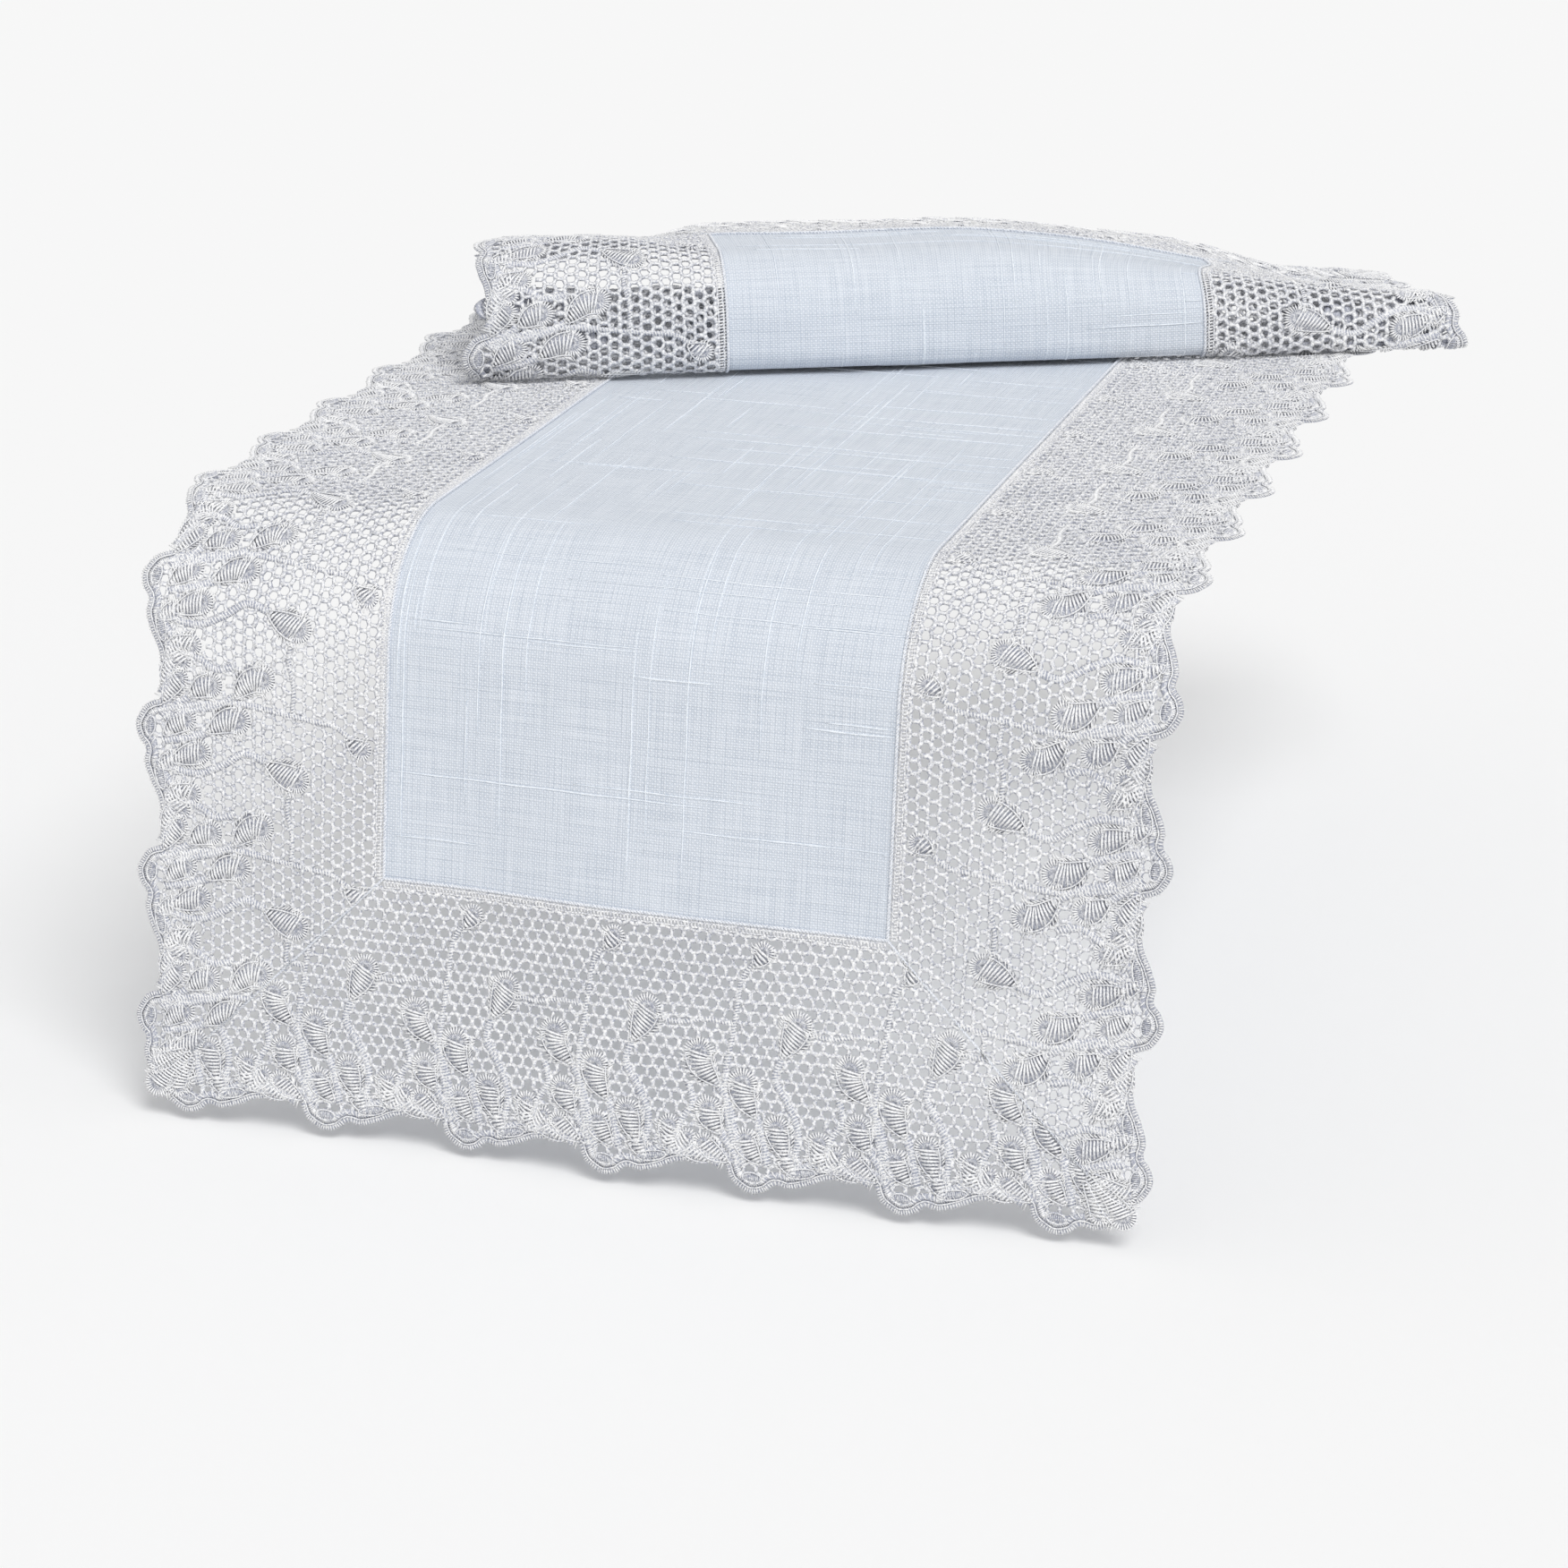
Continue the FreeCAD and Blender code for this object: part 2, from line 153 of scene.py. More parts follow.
def follow(distance, across, up, heading, stretches):
    """Follow a path of (length, turn) stretches; the last one runs on for ever."""
    start = 0.0
    for length, turn in stretches:
        moved = stretch(distance, start, length, heading, turn)
        across = across + moved[0]
        up = up + moved[1]
        heading = heading + turn
        start = start + length
    return across, up


def drape_and_flat(u, v):
    hem_y = -FLAT_FRONT - BEND_RADIUS * math.sin(BEND_TURN) - DROP * math.cos(BEND_TURN)
    hem_z = CLOTH_HEIGHT - BEND_RADIUS * (1 - math.cos(BEND_TURN)) - DROP * math.sin(BEND_TURN)
    below = np.minimum(v, 0)
    y, z = follow(
        v - below,
        hem_y + below * math.cos(BEND_TURN),
        hem_z + below * math.sin(BEND_TURN),
        BEND_TURN,
        [(DROP, 0.0), (BEND_LENGTH, -BEND_TURN), (LENGTH, 0.0)],
    )
    return np.stack([u, y, z], axis=-1)


def turned(x, y, z, origin, angle):
    cos, sin = math.cos(angle), math.sin(angle)
    return np.stack([origin[0] + x * cos - y * sin, origin[1] + x * sin + y * cos, z + 0 * x], axis=-1)


def back_fold(u, v):
    past = v - BACK_FOLD
    across_fold = past * math.cos(FOLD_ANGLE) - u * math.sin(FOLD_ANGLE)
    along_fold = past * math.sin(FOLD_ANGLE) + u * math.cos(FOLD_ANGLE)
    angle = np.clip(across_fold / BACK_FOLD_RADIUS, 0, math.pi)
    y = BACK_FOLD_RADIUS * np.sin(angle)
    z = CLOTH_HEIGHT + BACK_FOLD_RADIUS * (1 - np.cos(angle))
    return turned(along_fold, y, z, (0, FLAT_BACK), FOLD_ANGLE), across_fold


RETURN_FALL = RETURN_HEIGHT - FRONT_FOLD_HEIGHT
RETURN_RAMP = (RETURN_FALL - 2 * RETURN_TURN_RADIUS * (1 - math.cos(RETURN_SLOPE))) / math.sin(RETURN_SLOPE)
RETURN_TURN = RETURN_TURN_RADIUS * RETURN_SLOPE
RETURN_RUN = RETURN_RAMP * math.cos(RETURN_SLOPE) + 2 * RETURN_TURN_RADIUS * math.sin(RETURN_SLOPE)
RETURN_EXTRA = RETURN_RAMP + 2 * RETURN_TURN - RETURN_RUN
BACK_FOLD_ALONG_WARP = BACK_FOLD_LENGTH / math.cos(FOLD_ANGLE)
FRONT_FOLD = BACK_FOLD + BACK_FOLD_ALONG_WARP + RETURN + RETURN_EXTRA
TOP_LENGTH = LENGTH - FRONT_FOLD
RETURN_REACH = BACK_FOLD_ALONG_WARP + RETURN
FOLD_ORIGIN = (
    -math.sin(FOLD_ANGLE) * BACK_FOLD_LENGTH + math.sin(2 * FOLD_ANGLE) * RETURN_REACH,
    FLAT_BACK + math.cos(FOLD_ANGLE) * BACK_FOLD_LENGTH - math.cos(2 * FOLD_ANGLE) * RETURN_REACH,
)


def return_layer(u, v):
    """The layer inside the roll. It lies close behind the face, and then comes down to the back fold."""
    to_fold = np.maximum(FRONT_FOLD - v, 0)
    plan, height = follow(
        to_fold,
        0.0 * u,
        FRONT_FOLD_HEIGHT + 0.0 * u,
        0.0,
        [(RETURN_TURN, RETURN_SLOPE), (RETURN_RAMP, 0.0), (RETURN_TURN, -RETURN_SLOPE), (LENGTH, 0.0)],
    )
    past_bend = smooth(to_fold / FOLD_REACH)
    rumple = ROLL_RUMPLE * np.sin(u / 8 + to_fold / 10) * past_bend
    face_plan, face_height = roll_path(u, INNER_SHARE * to_fold + rumple)
    inset = ROLL_INSET * past_bend
    face_plan = face_plan + inset * (ROLL_CENTRE - face_plan)
    face_height = face_height + inset * (CREST_MIDDLE * crest_height(u) - face_height)
    low = smooth((to_fold - ROLL_HUG[0]) / (ROLL_HUG[1] - ROLL_HUG[0]))
    plan = face_plan + (plan - face_plan) * low
    height = face_height + (height - face_height) * low
    slip = ROLL_SLIP * np.sin(u / 13 - to_fold / 7) * past_bend * (1 - low)
    spread = roll_spread(u) * smooth(1 - to_fold / RETURN)
    return turned(u + spread + slip, plan, height, FOLD_ORIGIN, 2 * FOLD_ANGLE)


def lace_ends(u):
    """How far into the left and the right lace a point is: 0 on the panel, and 1 in the lace's outer part."""
    left = smooth((-u - SEAM + EASE_START[0]) / LACE_EASE)
    right = smooth((u - SEAM + EASE_START[1]) / LACE_EASE)
    return left, right


def crest_height(u):
    """The roll's height, which falls smoothly from its left end to its right-hand tip."""
    left, _ = lace_ends(u)
    fall = smooth((u - CREST_FALL[0]) / (CREST_FALL[1] - CREST_FALL[0]))
    return CREST_HIGH + (CREST_LOW - CREST_HIGH) * fall + LEFT_RISE * left


def roll_spread(u):
    """How far the loosely rolled cloth spreads sideways from its right seam. Its lace ends spread further."""
    past_seam = np.maximum(np.abs(u) - SEAM, 0)
    return -ROLL_WIDENING * (SEAM - u) + np.where(u > 0, LACE_SPREAD[1], LACE_SPREAD[0]) * past_seam


def roll_path(u, distance):
    """Where the roll's face, crest, top and rear border are, at a distance past the front fold."""
    left, right = lace_ends(u)
    crest = crest_height(u)
    crest_slope, rear_slope = (
        plain + (at_left - plain) * left + (at_right - plain) * right
        for plain, at_left, at_right in zip((CREST_SLOPE, REAR_SLOPE), LEFT_SLOPES, RIGHT_SLOPES)
    )
    fold_radius = FRONT_FOLD_SHARE * crest
    crest_radius = CREST_SHARE * crest
    fold_rise = fold_radius * (1 + math.sin(FACE_LEAN))
    crest_rise = crest_radius * (1 - math.sin(FACE_LEAN))
    face = (crest - FRONT_FOLD_HEIGHT - fold_rise - crest_rise) / math.cos(FACE_LEAN)
    fold_turn = math.pi / 2 + FACE_LEAN
    crest_turn = math.pi / 2 - FACE_LEAN + crest_slope
    rear_turn = rear_slope - crest_slope
    climb = fold_radius * fold_turn + face + crest_radius * crest_turn
    return follow(
        distance,
        0.0 * u,
        FRONT_FOLD_HEIGHT + 0.0 * u,
        math.pi,
        [
            (fold_radius * fold_turn, -fold_turn),
            (face, 0.0),
            (crest_radius * crest_turn, -crest_turn),
            (TOP_LENGTH - LACE - climb, 0.0),
            (REAR_TURN_RADIUS * np.maximum(np.abs(rear_turn), LEAST_TURN), -rear_turn),
            (LENGTH, 0.0),
        ],
    )


def top_layer(u, v):
    """From the front fold to the rear hem. Towards the right the roll's top is gathered up and leans over."""
    past_fold = np.maximum(v - FRONT_FOLD, 0)
    past_face = smooth((past_fold - GATHER_ALONG[0]) / (GATHER_ALONG[1] - GATHER_ALONG[0]))
    plan, height = roll_path(u, past_fold - GATHER * smooth(u / GATHER_ACROSS) * past_face)
    lean = (TOP_LEAN * smooth((u + SEAM) / (2 * SEAM)) + CORNER_TUCK * smooth((-u - SEAM) / LACE)) * past_face
    return turned(u + roll_spread(u) + lean, plan, height, FOLD_ORIGIN, 2 * FOLD_ANGLE)


def wave(u, v, across, along, phase=0.0):
    """A sine wave over the cloth, whose lengths across and along it are given over two pi."""
    return np.sin(u / across + v / along + phase)


def ripple(u, v):
    """How far the cloth stands off its plain drape: flutes low on the drop, and slackness all over."""
    hanging = smooth(1 - v / (DROP + BEND_LENGTH))
    flutes = FLUTES[0] * wave(u, v, 47, math.inf, 0.9) + FLUTES[1] * wave(u, v, 21, -160, 2.0)
    edge = smooth((np.abs(u) - SEAM) / LACE)
    slack = SLACK[0] * wave(u, v, 31, 43) * wave(u, v, -83, 57, 0.7) + SLACK[1] * wave(u, v, 13, 29)
    curl = edge * (CURLS[0] * wave(u, v, math.inf, 27, 1.3) + CURLS[1] * wave(u, v, 40, 11))
    on_table = (v > FLAT_START - 20) & (v < FRONT_FOLD + 8)
    lift = hanging * flutes + slack + curl
    table_lift = TABLE_LIFT + TABLE_SHARE * lift * (v < BACK_FOLD - 40)
    return np.where(on_table, table_lift, lift) * smooth((v + HEM_EASE) / HEM_EASE)


def drape(u, v):
    flat = drape_and_flat(u, v)
    fold, past = back_fold(u, v)
    points = np.where((past > 0)[..., None], fold, flat)
    points = np.where((past > BACK_FOLD_LENGTH)[..., None], return_layer(u, v), points)
    return np.where((v > FRONT_FOLD)[..., None], top_layer(u, v), points)


MARGIN = 10
GRID_U = np.arange(-HALF_WIDTH - MARGIN, HALF_WIDTH + MARGIN + 1, dtype=float)
GRID_V = np.arange(-MARGIN, LENGTH + MARGIN + 1)


def surface_normals(points):
    """Unit normals of a grid of points, towards the cloth's right side."""
    across = np.gradient(points, axis=0)
    along = np.gradient(points, axis=1)
    normals = np.cross(across, along)
    return normals / np.linalg.norm(normals, axis=-1, keepdims=True)


def draped_grid():
    u, v = np.meshgrid(GRID_U, GRID_V, indexing="ij")
    points = drape(u, v)
    points = points + surface_normals(points) * ripple(u, v)[..., None]
    return points, surface_normals(points)


GRID_POINTS, GRID_NORMALS = draped_grid()


def on_cloth(u, v, w):
    """Cloth coordinates to the frame, in metres."""
    column = np.clip(u - GRID_U[0], 0, len(GRID_U) - 1.001)
    row = np.clip(v - GRID_V[0], 0, len(GRID_V) - 1.001)
    i, j = column.astype(int), row.astype(int)
    a, b = (column - i)[..., None], (row - j)[..., None]

    def mixed(grid):
        near = grid[i, j] * (1 - a) + grid[i + 1, j] * a
        far = grid[i, j + 1] * (1 - a) + grid[i + 1, j + 1] * a
        return near * (1 - b) + far * b

    return (mixed(GRID_POINTS) + mixed(GRID_NORMALS) * w[..., None]) * MM


# ------------------------------------------------------------------------------------ mesh building

class Weave:
    """Vertices in strip or cloth coordinates, the faces between them, and the painted shine of each vertex, a
    painted light or shade.
    """

    def __init__(self):
        self.points = []
        self.painted_shine = []
        self.faces = []
        self.count = 0

    def add(self, points, painted_shine, faces):
        points = np.asarray(points, float).reshape(-1, 3)
        self.points.append(points)
        self.painted_shine.append(np.broadcast_to(painted_shine, (len(points),)))
        self.faces += [face + self.count for face in faces]
        self.count += len(points)

    def all_points(self):
        return np.concatenate(self.points)


# Painted shade at a thread's sides, as a share of the painted shine on its crown.
PAINTED_SHINE_AT_SIDES = 0.25
THREAD_UNEVENNESS = 0.12
PAD_SHARE = 0.72


def tubes(weave, spines, radii, sides=5, flatten=0.8, shade_tone=1.0):
    """Closed tubes along spines of shape (tubes, rings, 3), with a radius for each ring.

    A thread's crown and underside are painted brighter than its sides, a painted highlight, and its sides
    greyer, a painted shade; a low shade tone paints the whole thread greyer, as in shade.
    """
    spines = np.asarray(spines, float)
    count, rings = spines.shape[:2]
    if not count:
        return
    radii = np.broadcast_to(radii, (count, rings))
    along = np.gradient(spines, axis=1)
    along /= np.maximum(np.linalg.norm(along, axis=-1, keepdims=True), TINY)
    sideways = np.cross(along, (0.0, 0.0, 1.0))
    sideways /= np.maximum(np.linalg.norm(sideways, axis=-1, keepdims=True), TINY)
    upwards = np.cross(sideways, along)
    first = 0.75 if sides == 3 else 0.25
    angles = 2 * math.pi * (np.arange(sides) + first) / sides
    cos, sin = np.cos(angles)[:, None], np.sin(angles)[:, None]
    ring = cos * sideways[:, :, None] + flatten * sin * upwards[:, :, None]
    points = spines[:, :, None] + ring * radii[:, :, None, None]
    # Painted light: the crown and underside are painted pale and the sides grey, as light falls on a round
    # thread.
    painted_shine = shade_tone * (PAINTED_SHINE_AT_SIDES + (1 - PAINTED_SHINE_AT_SIDES) * np.abs(np.sin(angles)))
    painted_shine = np.broadcast_to(painted_shine, points.shape[:3]).reshape(-1)
    index = np.arange(count * rings * sides).reshape(count, rings, sides)
    after = np.roll(index, -1, axis=2)
    walls = np.stack([index[:, :-1], after[:, :-1], after[:, 1:], index[:, 1:]], axis=-1)
    weave.add(points, painted_shine, [walls.reshape(-1, 4), index[:, 0, ::-1], index[:, -1]])


def bars(weave, starts, ends, radius, rise=0.0, height=0.0, sides=4, end_radius=0.5, shade_tone=1.0):
    """Straight threads between two rows of points, arched by rise.

    end_radius is a thread's radius at its ends, as a share of its radius in the middle.
    """
    starts, ends = np.asarray(starts, float), np.asarray(ends, float)
    if not len(starts):
        return
    share = np.linspace(0, 1, 3)
    arch = 4 * share * (1 - share)
    plan = starts[:, None] * (1 - share)[None, :, None] + ends[:, None] * share[None, :, None]
    lift = height + np.asarray(rise)[..., None] * arch + np.zeros((len(starts), len(share)))
    spines = np.concatenate([plan, lift[..., None]], axis=-1)
    taper = end_radius + (1 - end_radius) * arch**0.5
    thickness = np.broadcast_to(radius, (len(starts),))[:, None] * taper
    tubes(weave, spines, thickness * (1 + jitter(thickness.shape, THREAD_UNEVENNESS)), sides, shade_tone=shade_tone)


def lens(weave, outline, height, depth, dome=0.35, shade_tone=0.15):
    """A low closed pad inside an outline, domed above and flat below. Its low shade tone paints it dark, as
    the shade between the stitches over it.
    """
    outline = np.asarray(outline, float)
    count = len(outline)
    centre = outline.mean(axis=0)
    inner = centre + (outline - centre) * PAD_SHARE
    ring = np.concatenate([outline, np.full((count, 1), height)], axis=1)
    top = np.concatenate([inner, np.full((count, 1), height + dome)], axis=1)
    bottom = np.concatenate([inner, np.full((count, 1), height - depth)], axis=1)
    tip = [[centre[0], centre[1], height + dome * 1.25], [centre[0], centre[1], height - depth]]
    points = np.concatenate([ring, top, bottom, tip])
    here = np.arange(count)
    after = np.roll(here, -1)
    faces = [
        np.stack([here, after, after + count, here + count], axis=1),
        np.stack([after, here, here + 2 * count, after + 2 * count], axis=1),
        np.stack([here + count, after + count, np.full(count, 3 * count)], axis=1),
        np.stack([after + 2 * count, here + 2 * count, np.full(count, 3 * count + 1)], axis=1),
    ]
    weave.add(points, shade_tone, faces)


def make_object(name, points, painted_shine, faces, material):
    """A smooth-shaded mesh object. points are in metres, and faces are arrays of vertex numbers."""
    mesh = bpy.data.meshes.new(name)
    sizes = np.concatenate([np.full(len(group), group.shape[1]) for group in faces])
    corners = np.concatenate([group.reshape(-1) for group in faces]).astype(np.int32)
    mesh.vertices.add(len(points))
    mesh.vertices.foreach_set("co", np.ascontiguousarray(points, np.float32).reshape(-1))
    mesh.loops.add(len(corners))
    mesh.loops.foreach_set("vertex_index", corners)
    mesh.polygons.add(len(sizes))
    mesh.polygons.foreach_set("loop_start", np.concatenate([[0], np.cumsum(sizes)[:-1]]).astype(np.int32))
    mesh.polygons.foreach_set("loop_total", sizes.astype(np.int32))
    mesh.update(calc_edges=True)
    mesh.attributes.new("painted_shine", "FLOAT", "POINT").data.foreach_set("value", np.asarray(painted_shine, np.float32))
    mesh.shade_smooth()
    mesh.materials.append(material)
    thing = bpy.data.objects.new(name, mesh)
    bpy.context.scene.collection.objects.link(thing)
    return thing


# ---------------------------------------------------------------------------------------- materials

def new_material(name):
    material = bpy.data.materials.new(name)
    material.use_nodes = True
    nodes = material.node_tree.nodes
    return material, nodes, material.node_tree.links, nodes["Principled BSDF"]


def add_node(nodes, kind, **settings):
    node = nodes.new(kind)
    for key, value in settings.items():
        if key in node.inputs.keys():
            node.inputs[key].default_value = value
        else:
            setattr(node, key, value)
    return node


def ramp(nodes, links, source, stops):
    node = nodes.new("ShaderNodeValToRGB")
    while len(node.color_ramp.elements) < len(stops):
        node.color_ramp.elements.new(0.5)
    for element, (position, colour) in zip(node.color_ramp.elements, stops):
        element.position = position
        element.color = (*colour, 1)
    links.new(source, node.inputs["Fac"])
    return node.outputs["Color"]


def math_node(nodes, links, operation, *values):
    """A maths node's output. Each of its values is a number or another node's output."""
    node = add_node(nodes, "ShaderNodeMath", operation=operation)
    for slot, value in enumerate(values):
        if isinstance(value, (int, float)):
            node.inputs[slot].default_value = value
        else:
            links.new(value, node.inputs[slot])
    return node.outputs[0]


def thread_material(name, shaded_colour, lit_colour, roughness, sheen, speckle_size):
    """Sewing or embroidery thread, with painted light: pale on its crown, painted greyer at its sides as in
    shade, and speckled with painted glints and shade of its twist.
    """
    material, nodes, links, shader = new_material(name)
    place = add_node(nodes, "ShaderNodeTexCoord")
    painted_shine = add_node(nodes, "ShaderNodeAttribute", attribute_name="painted_shine")
    speckle = add_node(nodes, "ShaderNodeTexNoise", Scale=1 / speckle_size, Detail=2.0, Roughness=0.6)
    patches = add_node(nodes, "ShaderNodeTexNoise", Scale=28.0, Detail=1.0)
    links.new(place.outputs["Object"], speckle.inputs["Vector"])
    links.new(place.outputs["Object"], patches.inputs["Vector"])
    # The colour mixes painted glints and shade of the twist, patches of tone at random, and the painted
    # shine, from a shaded colour to a lit one.
    total = -1.6
    for source, weight in ((speckle, 3.0), (patches, 0.35), (painted_shine, 0.85)):
        total = math_node(nodes, links, "MULTIPLY_ADD", source.outputs["Fac"], weight, total)
    colour = ramp(nodes, links, total, [(0.0, shaded_colour), (1.0, lit_colour)])
    links.new(colour, shader.inputs["Base Color"])
    bump = add_node(nodes, "ShaderNodeBump", Strength=0.8, Distance=0.0003)
    links.new(speckle.outputs["Fac"], bump.inputs["Height"])
    links.new(bump.outputs["Normal"], shader.inputs["Normal"])
    shader.inputs["Roughness"].default_value = roughness
    shader.inputs["Sheen Weight"].default_value = sheen
    shader.inputs["Sheen Roughness"].default_value = 0.4
    return material


def woven_material():
    """Plain weave, with the panel's own UV map counting threads: one unit is one thread."""
    material, nodes, links, shader = new_material("panel_weave")
    uv = add_node(nodes, "ShaderNodeUVMap", uv_map="threads")
    split = add_node(nodes, "ShaderNodeSeparateXYZ")
    links.new(uv.outputs["UV"], split.inputs["Vector"])

    def combined(operation, *values):
        return math_node(nodes, links, operation, *values)

    def thread_noise(scale_x, scale_y, seed):
        mapping = add_node(nodes, "ShaderNodeMapping")
        mapping.inputs["Scale"].default_value = (scale_x, scale_y, 1)
        mapping.inputs["Location"].default_value = (seed, 2 * seed, 0)
        links.new(uv.outputs["UV"], mapping.inputs["Vector"])
        noise = add_node(nodes, "ShaderNodeTexNoise", Scale=1.0, Detail=2.0)
        links.new(mapping.outputs["Vector"], noise.inputs["Vector"])
        return noise.outputs["Fac"]

    warp = combined("SINE", combined("MULTIPLY", split.outputs["X"], math.pi))
    weft = combined("SINE", combined("MULTIPLY", split.outputs["Y"], math.pi))
    over = combined("MULTIPLY", warp, weft)
    warp_round = combined("ABSOLUTE", warp)
    weft_round = combined("ABSOLUTE", weft)
    gaps = combined("MULTIPLY", warp_round, weft_round)
    height = combined("ADD", combined("MULTIPLY", over, 0.35), gaps)
    along_weft = thread_noise(0.03, 0.95, 3.0)
    along_warp = thread_noise(0.95, 0.03, 11.0)
    slub = combined("ADD", along_weft, along_warp)
    height = combined("ADD", height, combined("MULTIPLY", slub, 1.5))
    # Painted shade: the colour is darker in the gaps between threads and lighter on the upper thread of each
    # crossing, as light falls on the weave; the slubs vary it along threads.
    shade_tone = combined("ADD", combined("MULTIPLY", gaps, 0.5), combined("MULTIPLY", slub, 0.55))
    shade_tone = combined("ADD", shade_tone, combined("MULTIPLY", over, 0.25))
    colour = ramp(nodes, links, shade_tone, [(0.25, (0.46, 0.52, 0.61)), (1.0, (0.82, 0.86, 0.92))])
    links.new(colour, shader.inputs["Base Color"])
    bump = add_node(nodes, "ShaderNodeBump", Strength=0.6, Distance=0.0003)
    links.new(height, bump.inputs["Height"])
    links.new(bump.outputs["Normal"], shader.inputs["Normal"])
    shader.inputs["Roughness"].default_value = 0.85
    shader.inputs["Sheen Weight"].default_value = 0.2
    shader.inputs["Sheen Roughness"].default_value = 0.5
    return material


# Each thread's first colour is its painted shade, and its second is its lit colour.
LACE_THREAD = thread_material(
    "lace_thread",
    shaded_colour=(0.38, 0.40, 0.48),
    lit_colour=(1.0, 1.0, 1.0),
    roughness=0.45,
    sheen=0.2,
    speckle_size=0.0008,
)
SEAM_THREAD = thread_material(
    "seam_thread",
    shaded_colour=(0.50, 0.54, 0.62),
    lit_colour=(0.92, 0.94, 0.98),
    roughness=0.7,
    sheen=0.25,
    speckle_size=0.0008,
)
SLUB_THREAD = thread_material(
    "slub_yarn",
    shaded_colour=(0.66, 0.72, 0.80),
    lit_colour=(0.90, 0.94, 0.99),
    roughness=0.8,
    sheen=0.2,
    speckle_size=0.0012,
)
PANEL_WEAVE = woven_material()


# ----------------------------------------------------------------------------------- the lace strip

REPEAT = 2 * HALF_WIDTH / 7
MESH_COLUMNS = 12
MESH_PITCH = REPEAT / MESH_COLUMNS
MESH_ROW = 4.1
MESH_START = 4.4
NET_RADIUS = 0.88
KNOT_SCATTER = 0.3
ZIGZAG = 0.55
STITCH_RADIUS = 0.38
SIDE_STITCH = 1.1 * STITCH_RADIUS
WRAP_STITCH = 1.2 * STITCH_RADIUS
RIB_RADIUS = 1.4 * STITCH_RADIUS
RIB_PITCH = 1.22
RIM_PITCH = 1.25
FAN = 230
STEM_PITCH = 1.15
SEED_PITCH = 0.75
HEADING_PITCH = 1.3
EDGE_PITCH = 1.1
EDGE_DEPTH = 3.0
SPINE_POINTS = 40
SEED_POINTS = 25
LEAF_PAD = 0.85
END_SLACK = 20.0

# Painted light of thread: the base of a fan and the ovals are painted greyer, as satin in shade, and the
# stitches that stand out are painted brighter, a painted highlight.
SATIN_SHADE = 0.5
STITCH_HIGHLIGHT = 1.25

# One repeat of the pattern, with the big scallop at x = 0. A leaf is its head, a point on its spine, its
# tail, and half its width. A stem is half its width and the points that it passes through. A seed is a satin
# oval in a scallop: its centre, half its length, half its width, and its tilt in degrees. Another script
# measured and printed most of SCALLOPS and the first form of the others, which were then adjusted by hand.
LEAVES = (
    ((16.7, 30.2), (14.0, 40.0), (10.0, 48.5), 6.2),
    ((-21.6, 44.4), (-21.2, 53.5), (-13.5, 61.8), 6.2),
    ((-4.5, 54.2), (-4.6, 63.4), (0.7, 72.5), 6.3),
    ((-17.8, 66.2), (-16.9, 73.4), (-12.4, 80.0), 5.8),
    ((-4.8, 77.0), (-2.6, 83.0), (3.4, 90.0), 5.4),
    ((7.4, 70.8), (9.6, 78.3), (13.2, 87.5), 5.6),
    ((24.8, 74.6), (25.2, 80.4), (23.2, 87.0), 5.0),
    ((-22.6, 82.2), (-16.6, 86.4), (-9.0, 90.4), 4.9),
    ((-34.0, 79.0), (-32.0, 84.4), (-27.4, 89.6), 4.7),
    ((34.0, 80.0), (31.0, 84.6), (25.6, 89.6), 4.2),
    ((11.6, 83.0), (13.4, 88.0), (16.4, 93.0), 4.2),
    ((-27.0, 85.0), (-22.6, 88.4), (-16.4, 91.4), 3.8),
    ((1.4, 5.6), (1.0, 10.0), (-2.2, 15.5), 4.6),
)
STEMS = (
    (1.2, ((-2.2, 14.0), (-6.4, 20.0), (-7.9, 30.0), (-9.4, 42.0), (-10.5, 50.0))),
    (1.6, ((-10.5, 50.0), (-11.4, 60.0), (-10.6, 70.0), (-8.6, 80.0), (-6.0, 91.0))),
    (1.1, ((19.0, 38.5), (27.6, 39.4), (37.2, 37.4), (47.6, 37.9))),
    (1.8, ((10.0, 48.0), (7.6, 57.0), (12.8, 66.0), (17.0, 76.0), (15.4, 90.0))),
    (2.0, ((-13.7, 61.5), (-10.0, 68.0), (-7.6, 77.0), (-3.2, 90.0))),
    (2.0, ((0.7, 72.0), (3.6, 80.0), (5.6, 90.5))),
    (1.9, ((-12.6, 79.5), (-8.6, 85.0), (-3.4, 91.6))),
    (2.0, ((23.4, 86.5), (20.4, 89.2), (14.0, 91.0))),
    (2.4, ((-32.6, 88.8), (-25.0, 88.0), (-17.4, 88.6), (-11.0, 92.0))),
    (1.7, ((32.6, 88.2), (29.0, 84.0), (29.6, 77.0), (33.6, 70.0), (32.0, 62.0))),
)
SEEDS = (
    ((0.4, 95.6), 3.7, 2.0, 6),
    ((19.0, 91.6), 5.6, 1.9, -12),
)
SCALLOPS = (
    (-10.7, 91.5), (-9.4, 94.8), (-7.8, 97.7), (-4.5, 100.2), (-0.5, 101.9), (5.8, 100.4),
    (9.2, 97.7), (13.6, 98.4), (21.4, 96.3), (29.1, 92.9), (33.7, 92.2), (43.4, 92.0),
)


